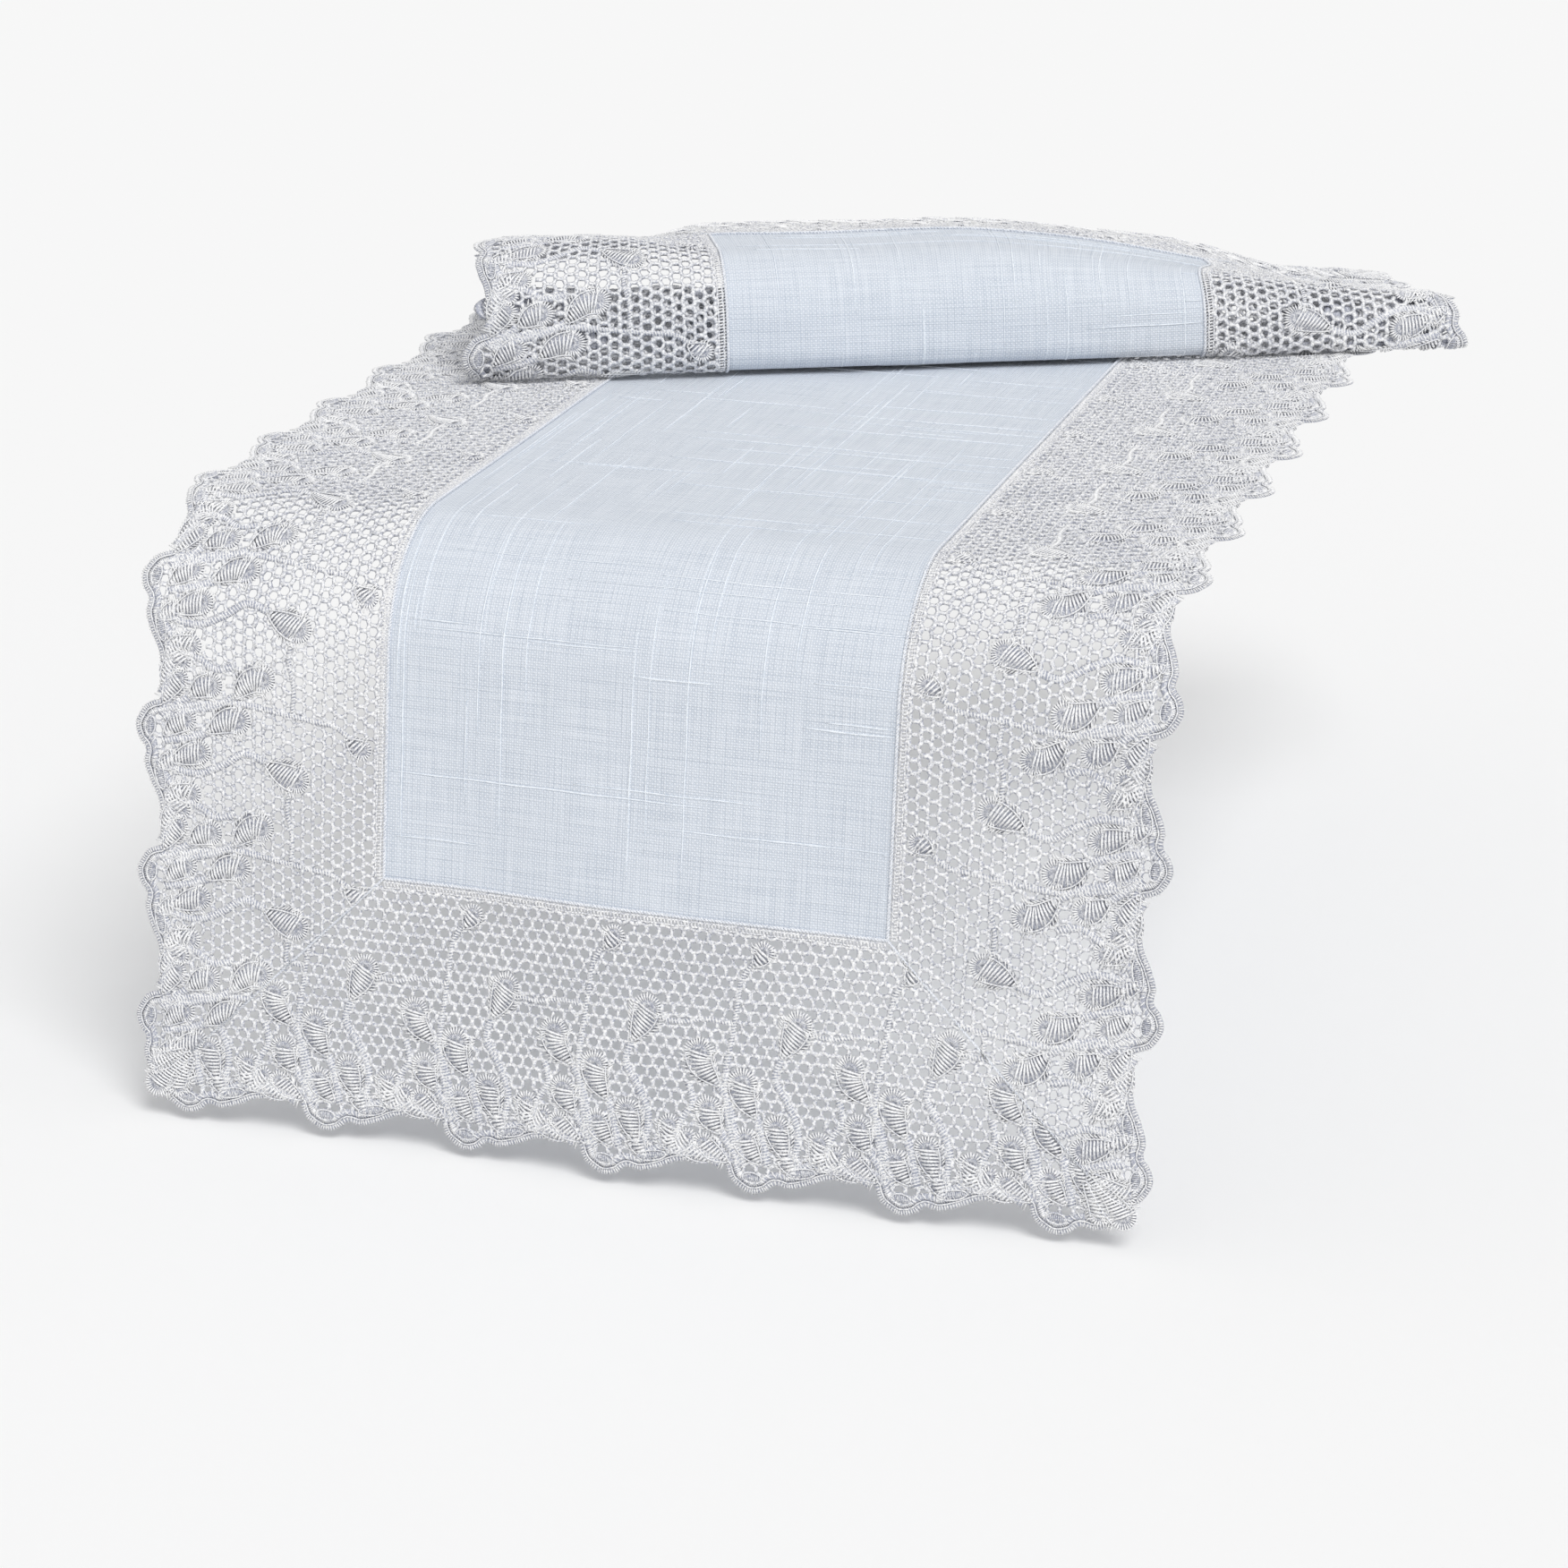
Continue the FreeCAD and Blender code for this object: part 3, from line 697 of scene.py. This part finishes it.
def spline(points, count):
    """Evenly shared points of a smooth curve through the given ones."""
    points = np.asarray(points, float)
    gaps = np.linalg.norm(np.diff(points, axis=0), axis=1)
    knots = np.concatenate([[0], np.cumsum(gaps)])
    slopes = np.gradient(points, knots, axis=0)
    place = np.linspace(0, knots[-1], count)
    left = np.clip(np.searchsorted(knots, place, side="right") - 1, 0, len(points) - 2)
    gap = gaps[left][:, None]
    t = ((place - knots[left]) / gaps[left])[:, None]
    return (
        (2 * t**3 - 3 * t**2 + 1) * points[left]
        + (t**3 - 2 * t**2 + t) * gap * slopes[left]
        + (3 * t**2 - 2 * t**3) * points[left + 1]
        + (t**3 - t**2) * gap * slopes[left + 1]
    )


def sides_of(spine):
    along = np.gradient(spine, axis=0)
    along /= np.linalg.norm(along, axis=1, keepdims=True)
    return along, np.stack([-along[:, 1], along[:, 0]], axis=1)


def spine_length(spine):
    return np.linalg.norm(np.diff(spine, axis=0), axis=1).sum()


def jitter(shape, size):
    return RANDOM.uniform(-size, size, shape)


def add_leaf(weave, head, middle, tail, half_width):
    """A satin-stitched leaf: a fan round its head, ribs across its body, and stitches down both sides."""
    spine = spline((head, middle, tail), SPINE_POINTS)
    body = spine[int((SPINE_POINTS - 1) * half_width / spine_length(spine)):]
    count = max(4, round(spine_length(body) / RIB_PITCH))
    line = spline(body, count)
    along, across = sides_of(line)
    share = np.linspace(0, 1, count)
    core = half_width * (0.68 * (1 - share**2.0) + 0.1)
    rim = half_width * (1.02 * (1 - share**2.2) + 0.26)
    for side in (-1, 1):
        edge = line + side * core[:, None] * across
        outer = line + side * rim[:, None] * across - along * (rim - core)[:, None] * 0.6
        tips = outer + jitter(outer.shape, 0.2)
        bars(weave, edge, tips, SIDE_STITCH, rise=0.3, height=0.5, sides=3, shade_tone=STITCH_HIGHLIGHT)
        flank = np.concatenate([edge, np.full((count, 1), 1.0)], axis=1)
        tubes(weave, flank[None], 0.34, sides=4)
    slant = along * 0.3 * core[:, None]
    left = line - core[:, None] * across + slant
    right = line + core[:, None] * across - slant
    bars(weave, left, right, RIB_RADIUS, rise=0.75, height=0.6, shade_tone=STITCH_HIGHLIGHT)
    outward = math.atan2(-along[0, 1], -along[0, 0])
    spokes = round(half_width * math.radians(FAN) / RIM_PITCH)
    angles = outward + np.radians(np.linspace(-FAN / 2, FAN / 2, spokes))
    rays = half_width * np.stack([np.cos(angles), np.sin(angles)], axis=1)
    reach = 1 + jitter((spokes, 1), 0.07)
    hub = line[0]
    bars(weave, hub + rays * 0.5, hub + rays * reach, SIDE_STITCH, rise=0.3, height=0.5, shade_tone=STITCH_HIGHLIGHT)
    # The fan's inner stitches are painted greyer, as satin in shade.
    roots, ends = hub + rays * 0.08, hub + rays * 0.6
    bars(weave, roots, ends, STITCH_RADIUS, rise=0.25, height=0.35, sides=3, shade_tone=SATIN_SHADE)
    width = (rim * LEAF_PAD)[::3, None]
    crown = hub + LEAF_PAD * rays
    left_side = (line[::3] - across[::3] * width)[1:]
    right_side = (line[::3] + across[::3] * width)[:0:-1]
    # A pad painted dark under the leaf, as the shade between its stitches.
    lens(weave, np.concatenate([crown, left_side, right_side]), 0.1, 0.5)


def add_seed(weave, centre, half_length, half_width, tilt):
    """A satin oval in a scallop, with a cord round it. Its stitches are painted greyer, as satin in shade,
    over a pad painted dark as the shade between them.
    """
    centre = np.asarray(centre, float)
    tilt = math.radians(tilt)
    axes = np.array([[math.cos(tilt), math.sin(tilt)], [-math.sin(tilt), math.cos(tilt)]])
    angles = np.linspace(0, 2 * math.pi, SEED_POINTS)
    oval = np.stack([half_length * np.cos(angles), half_width * np.sin(angles)], axis=1)
    cord = np.concatenate([centre + oval @ axes, np.full((SEED_POINTS, 1), 1.1)], axis=1)
    tubes(weave, cord[None], 0.36, sides=4)
    across = np.arange(-half_length + 0.5, half_length - 0.4, SEED_PITCH)
    reach = half_width * np.sqrt(np.clip(1 - (across / half_length) ** 2, 0.05, 1))
    low = centre + np.stack([across, -reach], axis=1) @ axes
    high = centre + np.stack([across + 0.3, reach], axis=1) @ axes
    bars(weave, low, high, 0.42, rise=0.3, height=0.8, shade_tone=SATIN_SHADE)
    lens(weave, centre + 1.15 * oval[:-1] @ axes, 0.4, 0.7)


def wrap(weave, line, half_width):
    """Close stitches across a line, over a flat core: a wrapped cord. The core is painted dark, as the shade
    between the stitches.
    """
    _, across = sides_of(line)
    half = half_width * (1 + jitter((len(line), 1), 0.12))
    lean = np.gradient(line, axis=0) * 0.35
    starts, ends = line - across * half - lean, line + across * half + lean
    bars(weave, starts, ends, WRAP_STITCH, rise=0.4, height=0.45, sides=3, shade_tone=STITCH_HIGHLIGHT)
    core = np.concatenate([line, np.full((len(line), 1), 0.3)], axis=1)[::2]
    tubes(weave, core[None], half_width * 0.92, sides=6, flatten=0.3, shade_tone=0.2)


def add_stem(weave, half_width, points):
    length = spine_length(spline(points, 60))
    wrap(weave, spline(points, round(length / STEM_PITCH)), half_width)


def leaf_cover(x, y):
    """Which points of a strip are under the middle of a leaf, so that the net leaves them out."""
    covered = np.zeros(x.shape, bool)
    for head, middle, tail, half_width in LEAVES:
        spine = spline((head, middle, tail), 9)[2:-1]
        for index, point in enumerate(spine):
            reach = half_width * (0.8 - 0.1 * index)
            gap = (x - point[0] + REPEAT / 2) % REPEAT - REPEAT / 2
            covered |= gap**2 + (y - point[1]) ** 2 < reach**2
    return covered


def edge_line(length, phase):
    """The scalloped edge of a whole strip, evenly spaced, and which way is out of the lace along it."""
    points = [point for offset in repeats(length, phase) for point in shifted(SCALLOPS, offset)]
    run = spine_length(spline(points, 8 * len(points)))
    line = spline(points, round(run / EDGE_PITCH))
    return line, sides_of(line)[1]


def add_edge(weave, length, phase, low, high):
    """The scalloped edge: close stitches over a band, a cord along their roots, and a wrapped cord. The band
    is painted dark, as the shade between the stitches.
    """
    line, outward = edge_line(length, phase)
    kept = in_stretch(line, length, low, high)
    line, outward = line[kept], outward[kept]
    roots = line - outward * 0.8 * EDGE_DEPTH
    tips = line + jitter(line.shape, 0.2)
    bars(weave, roots, tips, SIDE_STITCH, rise=0.3, height=0.4, sides=3, shade_tone=STITCH_HIGHLIGHT)
    band = np.concatenate([line - outward * 0.55 * EDGE_DEPTH, np.full((len(line), 1), 0.1)], axis=1)[::2]
    tubes(weave, band[None], 0.5 * EDGE_DEPTH, sides=6, flatten=0.25, shade_tone=0.2)
    cord = np.concatenate([roots, np.full((len(line), 1), 0.8)], axis=1)
    tubes(weave, cord[None], 0.3, sides=5)
    wrap(weave, line - outward * 1.4 * EDGE_DEPTH, 0.5 * EDGE_DEPTH)


def net_edges(length, phase):
    """Both ends of every thread of the net: zigzags along the strip, and the short bars that join them."""
    rows = int((LACE - MESH_START) / MESH_ROW) + 1
    columns = int(length / (MESH_PITCH / 2)) + 5
    row, column = np.meshgrid(np.arange(rows), np.arange(-2, columns), indexing="ij")
    x = column * MESH_PITCH / 2 + jitter(row.shape, KNOT_SCATTER)
    zigzag = np.where((row + column) % 2 == 0, -ZIGZAG, ZIGZAG)
    y = MESH_START + row * MESH_ROW + zigzag + jitter(row.shape, KNOT_SCATTER)
    knots = np.stack([x, y], axis=-1)
    along = (knots[:, :-1].reshape(-1, 2), knots[:, 1:].reshape(-1, 2))
    joins = (row[:-1] + column[:-1]) % 2 == 1
    across = (knots[:-1][joins], knots[1:][joins])
    starts = np.concatenate([along[0], across[0]])
    ends = np.concatenate([along[1], across[1]])
    middle = (starts + ends) / 2
    edge, _ = edge_line(length, phase)
    inside = middle[:, 1] < np.interp(middle[:, 0], *edge.T) - 1.6 * EDGE_DEPTH
    kept = ~leaf_cover(middle[:, 0] - phase, middle[:, 1]) & inside
    return starts[kept], ends[kept]


def mitre_limits(y, length):
    """The stretch of a strip that lies between its two mitres, at a distance from its seam."""
    inset = LACE - y
    return inset, length - inset


def within_mitres(points, length, slack):
    low, high = mitre_limits(points[..., 1], length)
    return (points[..., 0] > low - slack) & (points[..., 0] < high + slack)


def in_stretch(points, length, low, high):
    """Which points of a strip lie between its mitres and in one stretch of it."""
    return within_mitres(points, length, 0.0) & (points[:, 0] >= low) & (points[:, 0] < high)


def repeats(length, phase):
    """Where the pattern's x = 0 falls along a strip, for every repeat."""
    first = math.floor(-phase / REPEAT) - 1
    last = math.ceil((length - phase) / REPEAT) + 1
    return [phase + REPEAT * number for number in range(first, last + 1)]


def shifted(points, offset):
    return [(x + offset, y) for x, y in points]


def add_net(weave, length, phase, low, high):
    starts, ends = net_edges(length, phase)
    middle = (starts + ends) / 2
    kept = in_stretch(middle, length, low, high)
    starts, ends = starts[kept], ends[kept]
    radius = NET_RADIUS * (1 + jitter(len(starts), 0.16))
    # The net's threads are painted a little greyer than the sprays' stitches, a painted shade.
    bars(weave, starts, ends, radius, rise=jitter(len(starts), 0.25), sides=5, end_radius=1.18, shade_tone=0.85)


def add_sprays(weave, length, phase, low, high):
    for offset in repeats(length, phase):
        for head, middle, tail, half_width in LEAVES:
            head, middle, tail = shifted((head, middle, tail), offset)
            place = np.array([middle])
            if within_mitres(place, length, 1.5).all() and low <= middle[0] < high:
                add_leaf(weave, head, middle, tail, half_width)
        for centre, half_length, half_width, tilt in SEEDS:
            centre = shifted([centre], offset)[0]
            if within_mitres(np.array([centre]), length, -2.0).all() and low <= centre[0] < high:
                add_seed(weave, centre, half_length, half_width, tilt)
        for half_width, points in STEMS:
            points = shifted(points, offset)
            near = within_mitres(np.array(points), length, 0.0)
            if near.any() and low <= points[len(points) // 2][0] < high:
                add_stem(weave, half_width, points)
    add_edge(weave, length, phase, low, high)


def add_heading(weave, length, low, high):
    """The dense band beside the seam: close loops across it and a thread along its outer edge."""
    x = np.arange(max(low, LACE), min(high, length - LACE), HEADING_PITCH)
    starts = np.stack([x, np.full_like(x, 0.6)], axis=1)
    ends = np.stack([x + 0.5, 3.7 + jitter(x.shape, 0.35)], axis=1)
    bars(weave, starts, ends, 0.42, rise=0.35, height=0.2, end_radius=0.9)
    for y in (1.5, 3.4):
        line = np.stack([x, y + jitter(x.shape, 0.2)], axis=1)
        bars(weave, line[:-1], line[1:], 0.4, rise=0.1, height=0.35, end_radius=1.1)


class Border:
    """One lace border: its strip's length, and how strip coordinates turn into cloth coordinates."""

    def __init__(self, name, length, phase, to_cloth, pieces):
        self.name = name
        self.length = length
        self.phase = phase
        self.to_cloth = to_cloth
        self.pieces = pieces


def strip_to_front(x, y):
    return x - HALF_WIDTH, LACE - y


def strip_to_right(x, y):
    return SEAM + y, x


def strip_to_rear(x, y):
    return HALF_WIDTH - x, LENGTH - LACE + y


def strip_to_left(x, y):
    return -SEAM - y, LENGTH - x


BORDERS = (
    Border("front", 2 * HALF_WIDTH, 22.4, strip_to_front, 1),
    Border("right", LENGTH, 24.0, strip_to_right, 2),
    Border("rear", 2 * HALF_WIDTH, 22.4, strip_to_rear, 1),
    Border("left", LENGTH, 20.0, strip_to_left, 2),
)


def lace_object(name, weave, border):
    """A lace piece on the drape, cut off at the mitres."""
    points = weave.all_points()
    x, y, w = points.T
    low, high = mitre_limits(y, border.length)
    x = np.clip(x, low + 0.25, high - 0.25)
    u, v = border.to_cloth(x, y)
    return make_object(name, on_cloth(u, v, w), np.concatenate(weave.painted_shine), weave.faces, LACE_THREAD)


def lace_piece(piece, border_name):
    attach(piece, "root")
    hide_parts(f"lace_border_{border_name}")


def build_border(border):
    """The net and sprays of a border, in one or two stretches, each stretch with a net piece and a sprays
    piece.
    """
    share = border.length / border.pieces
    for number in range(border.pieces):
        low = number * share - END_SLACK * (number == 0)
        high = (number + 1) * share + END_SLACK * (number == border.pieces - 1)
        suffix = f"_{number + 1}" if border.pieces > 1 else ""
        net, spray = Weave(), Weave()
        add_net(net, border.length, border.phase, low, high)
        add_heading(net, border.length, low, high)
        add_sprays(spray, border.length, border.phase, low, high)
        net_piece = lace_object(f"lace_net_{border.name}{suffix}", net, border)
        spray_piece = lace_object(f"lace_sprays_{border.name}{suffix}", spray, border)
        lace_piece(net_piece, border.name)
        lace_piece(spray_piece, border.name)


# The fan of leaves over each corner's mitre. A leaf is as in LEAVES, in millimetres in from the two hems.
CORNER_LEAVES = (
    ((6.4, 6.4), (14.0, 14.0), (24.0, 24.0), 6.0),
    ((17.5, 5.6), (19.5, 13.0), (25.0, 22.0), 4.4),
    ((5.6, 17.5), (13.0, 19.5), (22.0, 25.0), 4.4),
)
CORNER_LIFT = 0.5


def corner_spray(end, side):
    """The leaves of one corner: side is -1 on the left and 1 on the right."""
    weave = Weave()
    for head, middle, tail, half_width in CORNER_LEAVES:
        add_leaf(weave, head, middle, tail, half_width)
    across, along, w = weave.all_points().T
    u = side * (HALF_WIDTH - across)
    v = along if end == "front" else LENGTH - along
    mirrored = (side < 0) != (end == "front")
    faces = [face[:, ::-1] for face in weave.faces] if mirrored else weave.faces
    name = f"corner_spray_{end}_{'left' if side < 0 else 'right'}"
    points = on_cloth(u, v, w + CORNER_LIFT)
    piece = make_object(name, points, np.concatenate(weave.painted_shine), faces, LACE_THREAD)
    lace_piece(piece, end)
    return piece


CORNERS = {end: [corner_spray(end, side) for side in (-1, 1)] for end in ("front", "rear")}
for border in BORDERS:
    build_border(border)


# ---------------------------------------------------------------------------------------- the panel

THREADS_PER_MM = 1.05
PANEL_STEP = 1.25
SLUBS = 210
SLUB_LENGTHS = (15, 130)
SLUB_RADII = (0.22, 0.38)
SLUB_STEP = 3.0


def panel_piece():
    columns = round(2 * SEAM / PANEL_STEP) + 1
    rows = round((LENGTH - 2 * LACE) / PANEL_STEP) + 1
    across, along = np.linspace(-SEAM, SEAM, columns), np.linspace(LACE, LENGTH - LACE, rows)
    u, v = np.meshgrid(across, along, indexing="ij")
    index = np.arange(u.size).reshape(u.shape)
    faces = np.stack([index[:-1, :-1], index[1:, :-1], index[1:, 1:], index[:-1, 1:]], axis=-1)
    faces = faces.reshape(-1, 4)
    points = on_cloth(u.ravel(), v.ravel(), np.full(u.size, 0.1))
    panel = make_object("panel", points, np.ones(u.size), [faces], PANEL_WEAVE)
    layer = panel.data.uv_layers.new(name="threads")
    corners = faces.ravel()
    uv = np.stack([u.ravel()[corners], v.ravel()[corners]], axis=1) * THREADS_PER_MM
    layer.data.foreach_set("uv", uv.astype(np.float32).ravel())
    return panel


def slub_piece():
    """The thicker yarns that stand out of the weave, half of them along the cloth and half across it."""
    weave = Weave()
    low, high = np.array([-SEAM + 1, LACE + 1]), np.array([SEAM - 1, LENGTH - LACE - 1])
    for number in range(SLUBS):
        axis = number % 2
        reach = RANDOM.uniform(*SLUB_LENGTHS)
        start = RANDOM.uniform(low, high)
        end = start.copy()
        end[axis] = min(start[axis] + reach, high[axis])
        share = np.linspace(0, 1, 2 + round((end[axis] - start[axis]) / SLUB_STEP))
        line = start + (end - start) * share[:, None]
        line[:, 1 - axis] += 0.12 * np.sin(line[:, axis] / 5 + number)
        line = np.concatenate([line, np.full((len(line), 1), 0.2)], axis=1)
        radius = RANDOM.uniform(*SLUB_RADII) * np.sin(math.pi * np.clip(share, 0.02, 0.98)) ** 0.35
        tubes(weave, line[None], radius[None] * (1 + jitter(len(share), 0.15)), sides=5, flatten=0.75)
    u, v, w = weave.all_points().T
    points = on_cloth(u, v, w)
    return make_object("panel_slubs", points, np.concatenate(weave.painted_shine), weave.faces, SLUB_THREAD)


panel, slubs = panel_piece(), slub_piece()
for piece in (panel, slubs):
    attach(piece, "root")
    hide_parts("centre_panel")


# --------------------------------------------------------------------------------------- sewn cords

CORD_STEP = 0.45
CORD_TWIST = 2.6
CORD_HEIGHT = 0.5
MITRE_END = 13
MITRE_STRANDS = (0.32, 0.26)


def cord_piece(name, node, path, strand_radius=0.4, lay=0.33):
    """A two-strand cord sewn along a line of the cloth."""
    length = spine_length(np.asarray(path, float))
    count = round(length / CORD_STEP)
    line = spline(path, count)
    _, across = sides_of(line)
    angle = 2 * math.pi * np.linspace(0, length, count) / CORD_TWIST
    weave = Weave()
    for strand in (0, math.pi):
        offset = lay * np.cos(angle + strand)[:, None] * across
        lift = CORD_HEIGHT + lay * np.sin(angle + strand)
        spine = np.concatenate([line + offset, lift[:, None]], axis=1)
        tubes(weave, spine[None], strand_radius, flatten=1.0)
    u, v, w = weave.all_points().T
    piece = make_object(name, on_cloth(u, v, w), np.concatenate(weave.painted_shine), weave.faces, SEAM_THREAD)
    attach(piece, "root")
    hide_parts(node)
    return piece


FRONT_SEAM, REAR_SEAM = LACE, LENGTH - LACE
for name, side in (("left", -1), ("right", 1)):
    front, rear = (side * SEAM, FRONT_SEAM), (side * SEAM, REAR_SEAM)
    hem = side * (HALF_WIDTH - MITRE_END)
    front_tip, rear_tip = (hem, MITRE_END), (hem, LENGTH - MITRE_END)
    cord_piece(f"seam_cord_{name}", f"seam_thread_{name}", [front, rear])
    cord_piece(f"mitre_cord_front_{name}", f"mitre_seam_front_{name}", [front, front_tip], *MITRE_STRANDS)
    cord_piece(f"mitre_cord_rear_{name}", f"mitre_seam_rear_{name}", [rear, rear_tip], *MITRE_STRANDS)
cord_piece("seam_cord_front", "seam_thread_front", [(-SEAM, FRONT_SEAM), (SEAM, FRONT_SEAM)])
cord_piece("seam_cord_rear", "seam_thread_rear", [(-SEAM, REAR_SEAM), (SEAM, REAR_SEAM)])


# ----------------------------------------------------------------------------- floor, light, camera

FLOOR_REACH = 6.0
FLOOR_GAP = 0.004


def add_floor():
    mesh = bpy.data.meshes.new("floor")
    z = cad_box[0][2] - FLOOR_GAP
    signs = ((-1, -1), (1, -1), (1, 1), (-1, 1))
    mesh.from_pydata([(x * FLOOR_REACH, y * FLOOR_REACH, z) for x, y in signs], [], [(0, 1, 2, 3)])
    floor = bpy.data.objects.new("floor", mesh)
    bpy.context.scene.collection.objects.link(floor)
    material, _, _, shader = new_material("floor")
    shader.inputs["Base Color"].default_value = (0.92, 0.92, 0.92, 1)
    shader.inputs["Roughness"].default_value = 0.9
    shader.inputs["Specular IOR Level"].default_value = 0.0
    mesh.materials.append(material)


def aim(thing, target):
    direction = Vector(target) - thing.location
    thing.rotation_euler = direction.to_track_quat("-Z", "Y").to_euler()


def add_sun():
    data = bpy.data.lights.new("window", "SUN")
    data.energy = 1.6
    data.angle = math.radians(30)
    light = bpy.data.objects.new("window", data)
    light.location = (0.8, -0.86, 1.62)
    bpy.context.scene.collection.objects.link(light)
    aim(light, (0, 0, 0))


def add_camera():
    azimuth, elevation = math.radians(17.7), math.radians(20.6)
    target = (0.117, -0.365, 0.0)
    distance = 1.182
    data = bpy.data.cameras.new("camera")
    data.sensor_width = 36
    data.lens = 89.2
    camera = bpy.data.objects.new("camera", data)
    camera.location = (
        target[0] + distance * math.cos(elevation) * math.sin(azimuth),
        target[1] - distance * math.cos(elevation) * math.cos(azimuth),
        target[2] + distance * math.sin(elevation),
    )
    bpy.context.scene.collection.objects.link(camera)
    aim(camera, target)
    bpy.context.scene.camera = camera


def set_world():
    world = bpy.data.worlds.new("studio")
    world.use_nodes = True
    background = world.node_tree.nodes["Background"]
    background.inputs["Color"].default_value = (1.0, 1.0, 1.0, 1)
    background.inputs["Strength"].default_value = 0.6
    bpy.context.scene.world = world


add_floor()
set_world()
add_sun()
add_camera()
bpy.context.scene.view_settings.view_transform = "Standard"
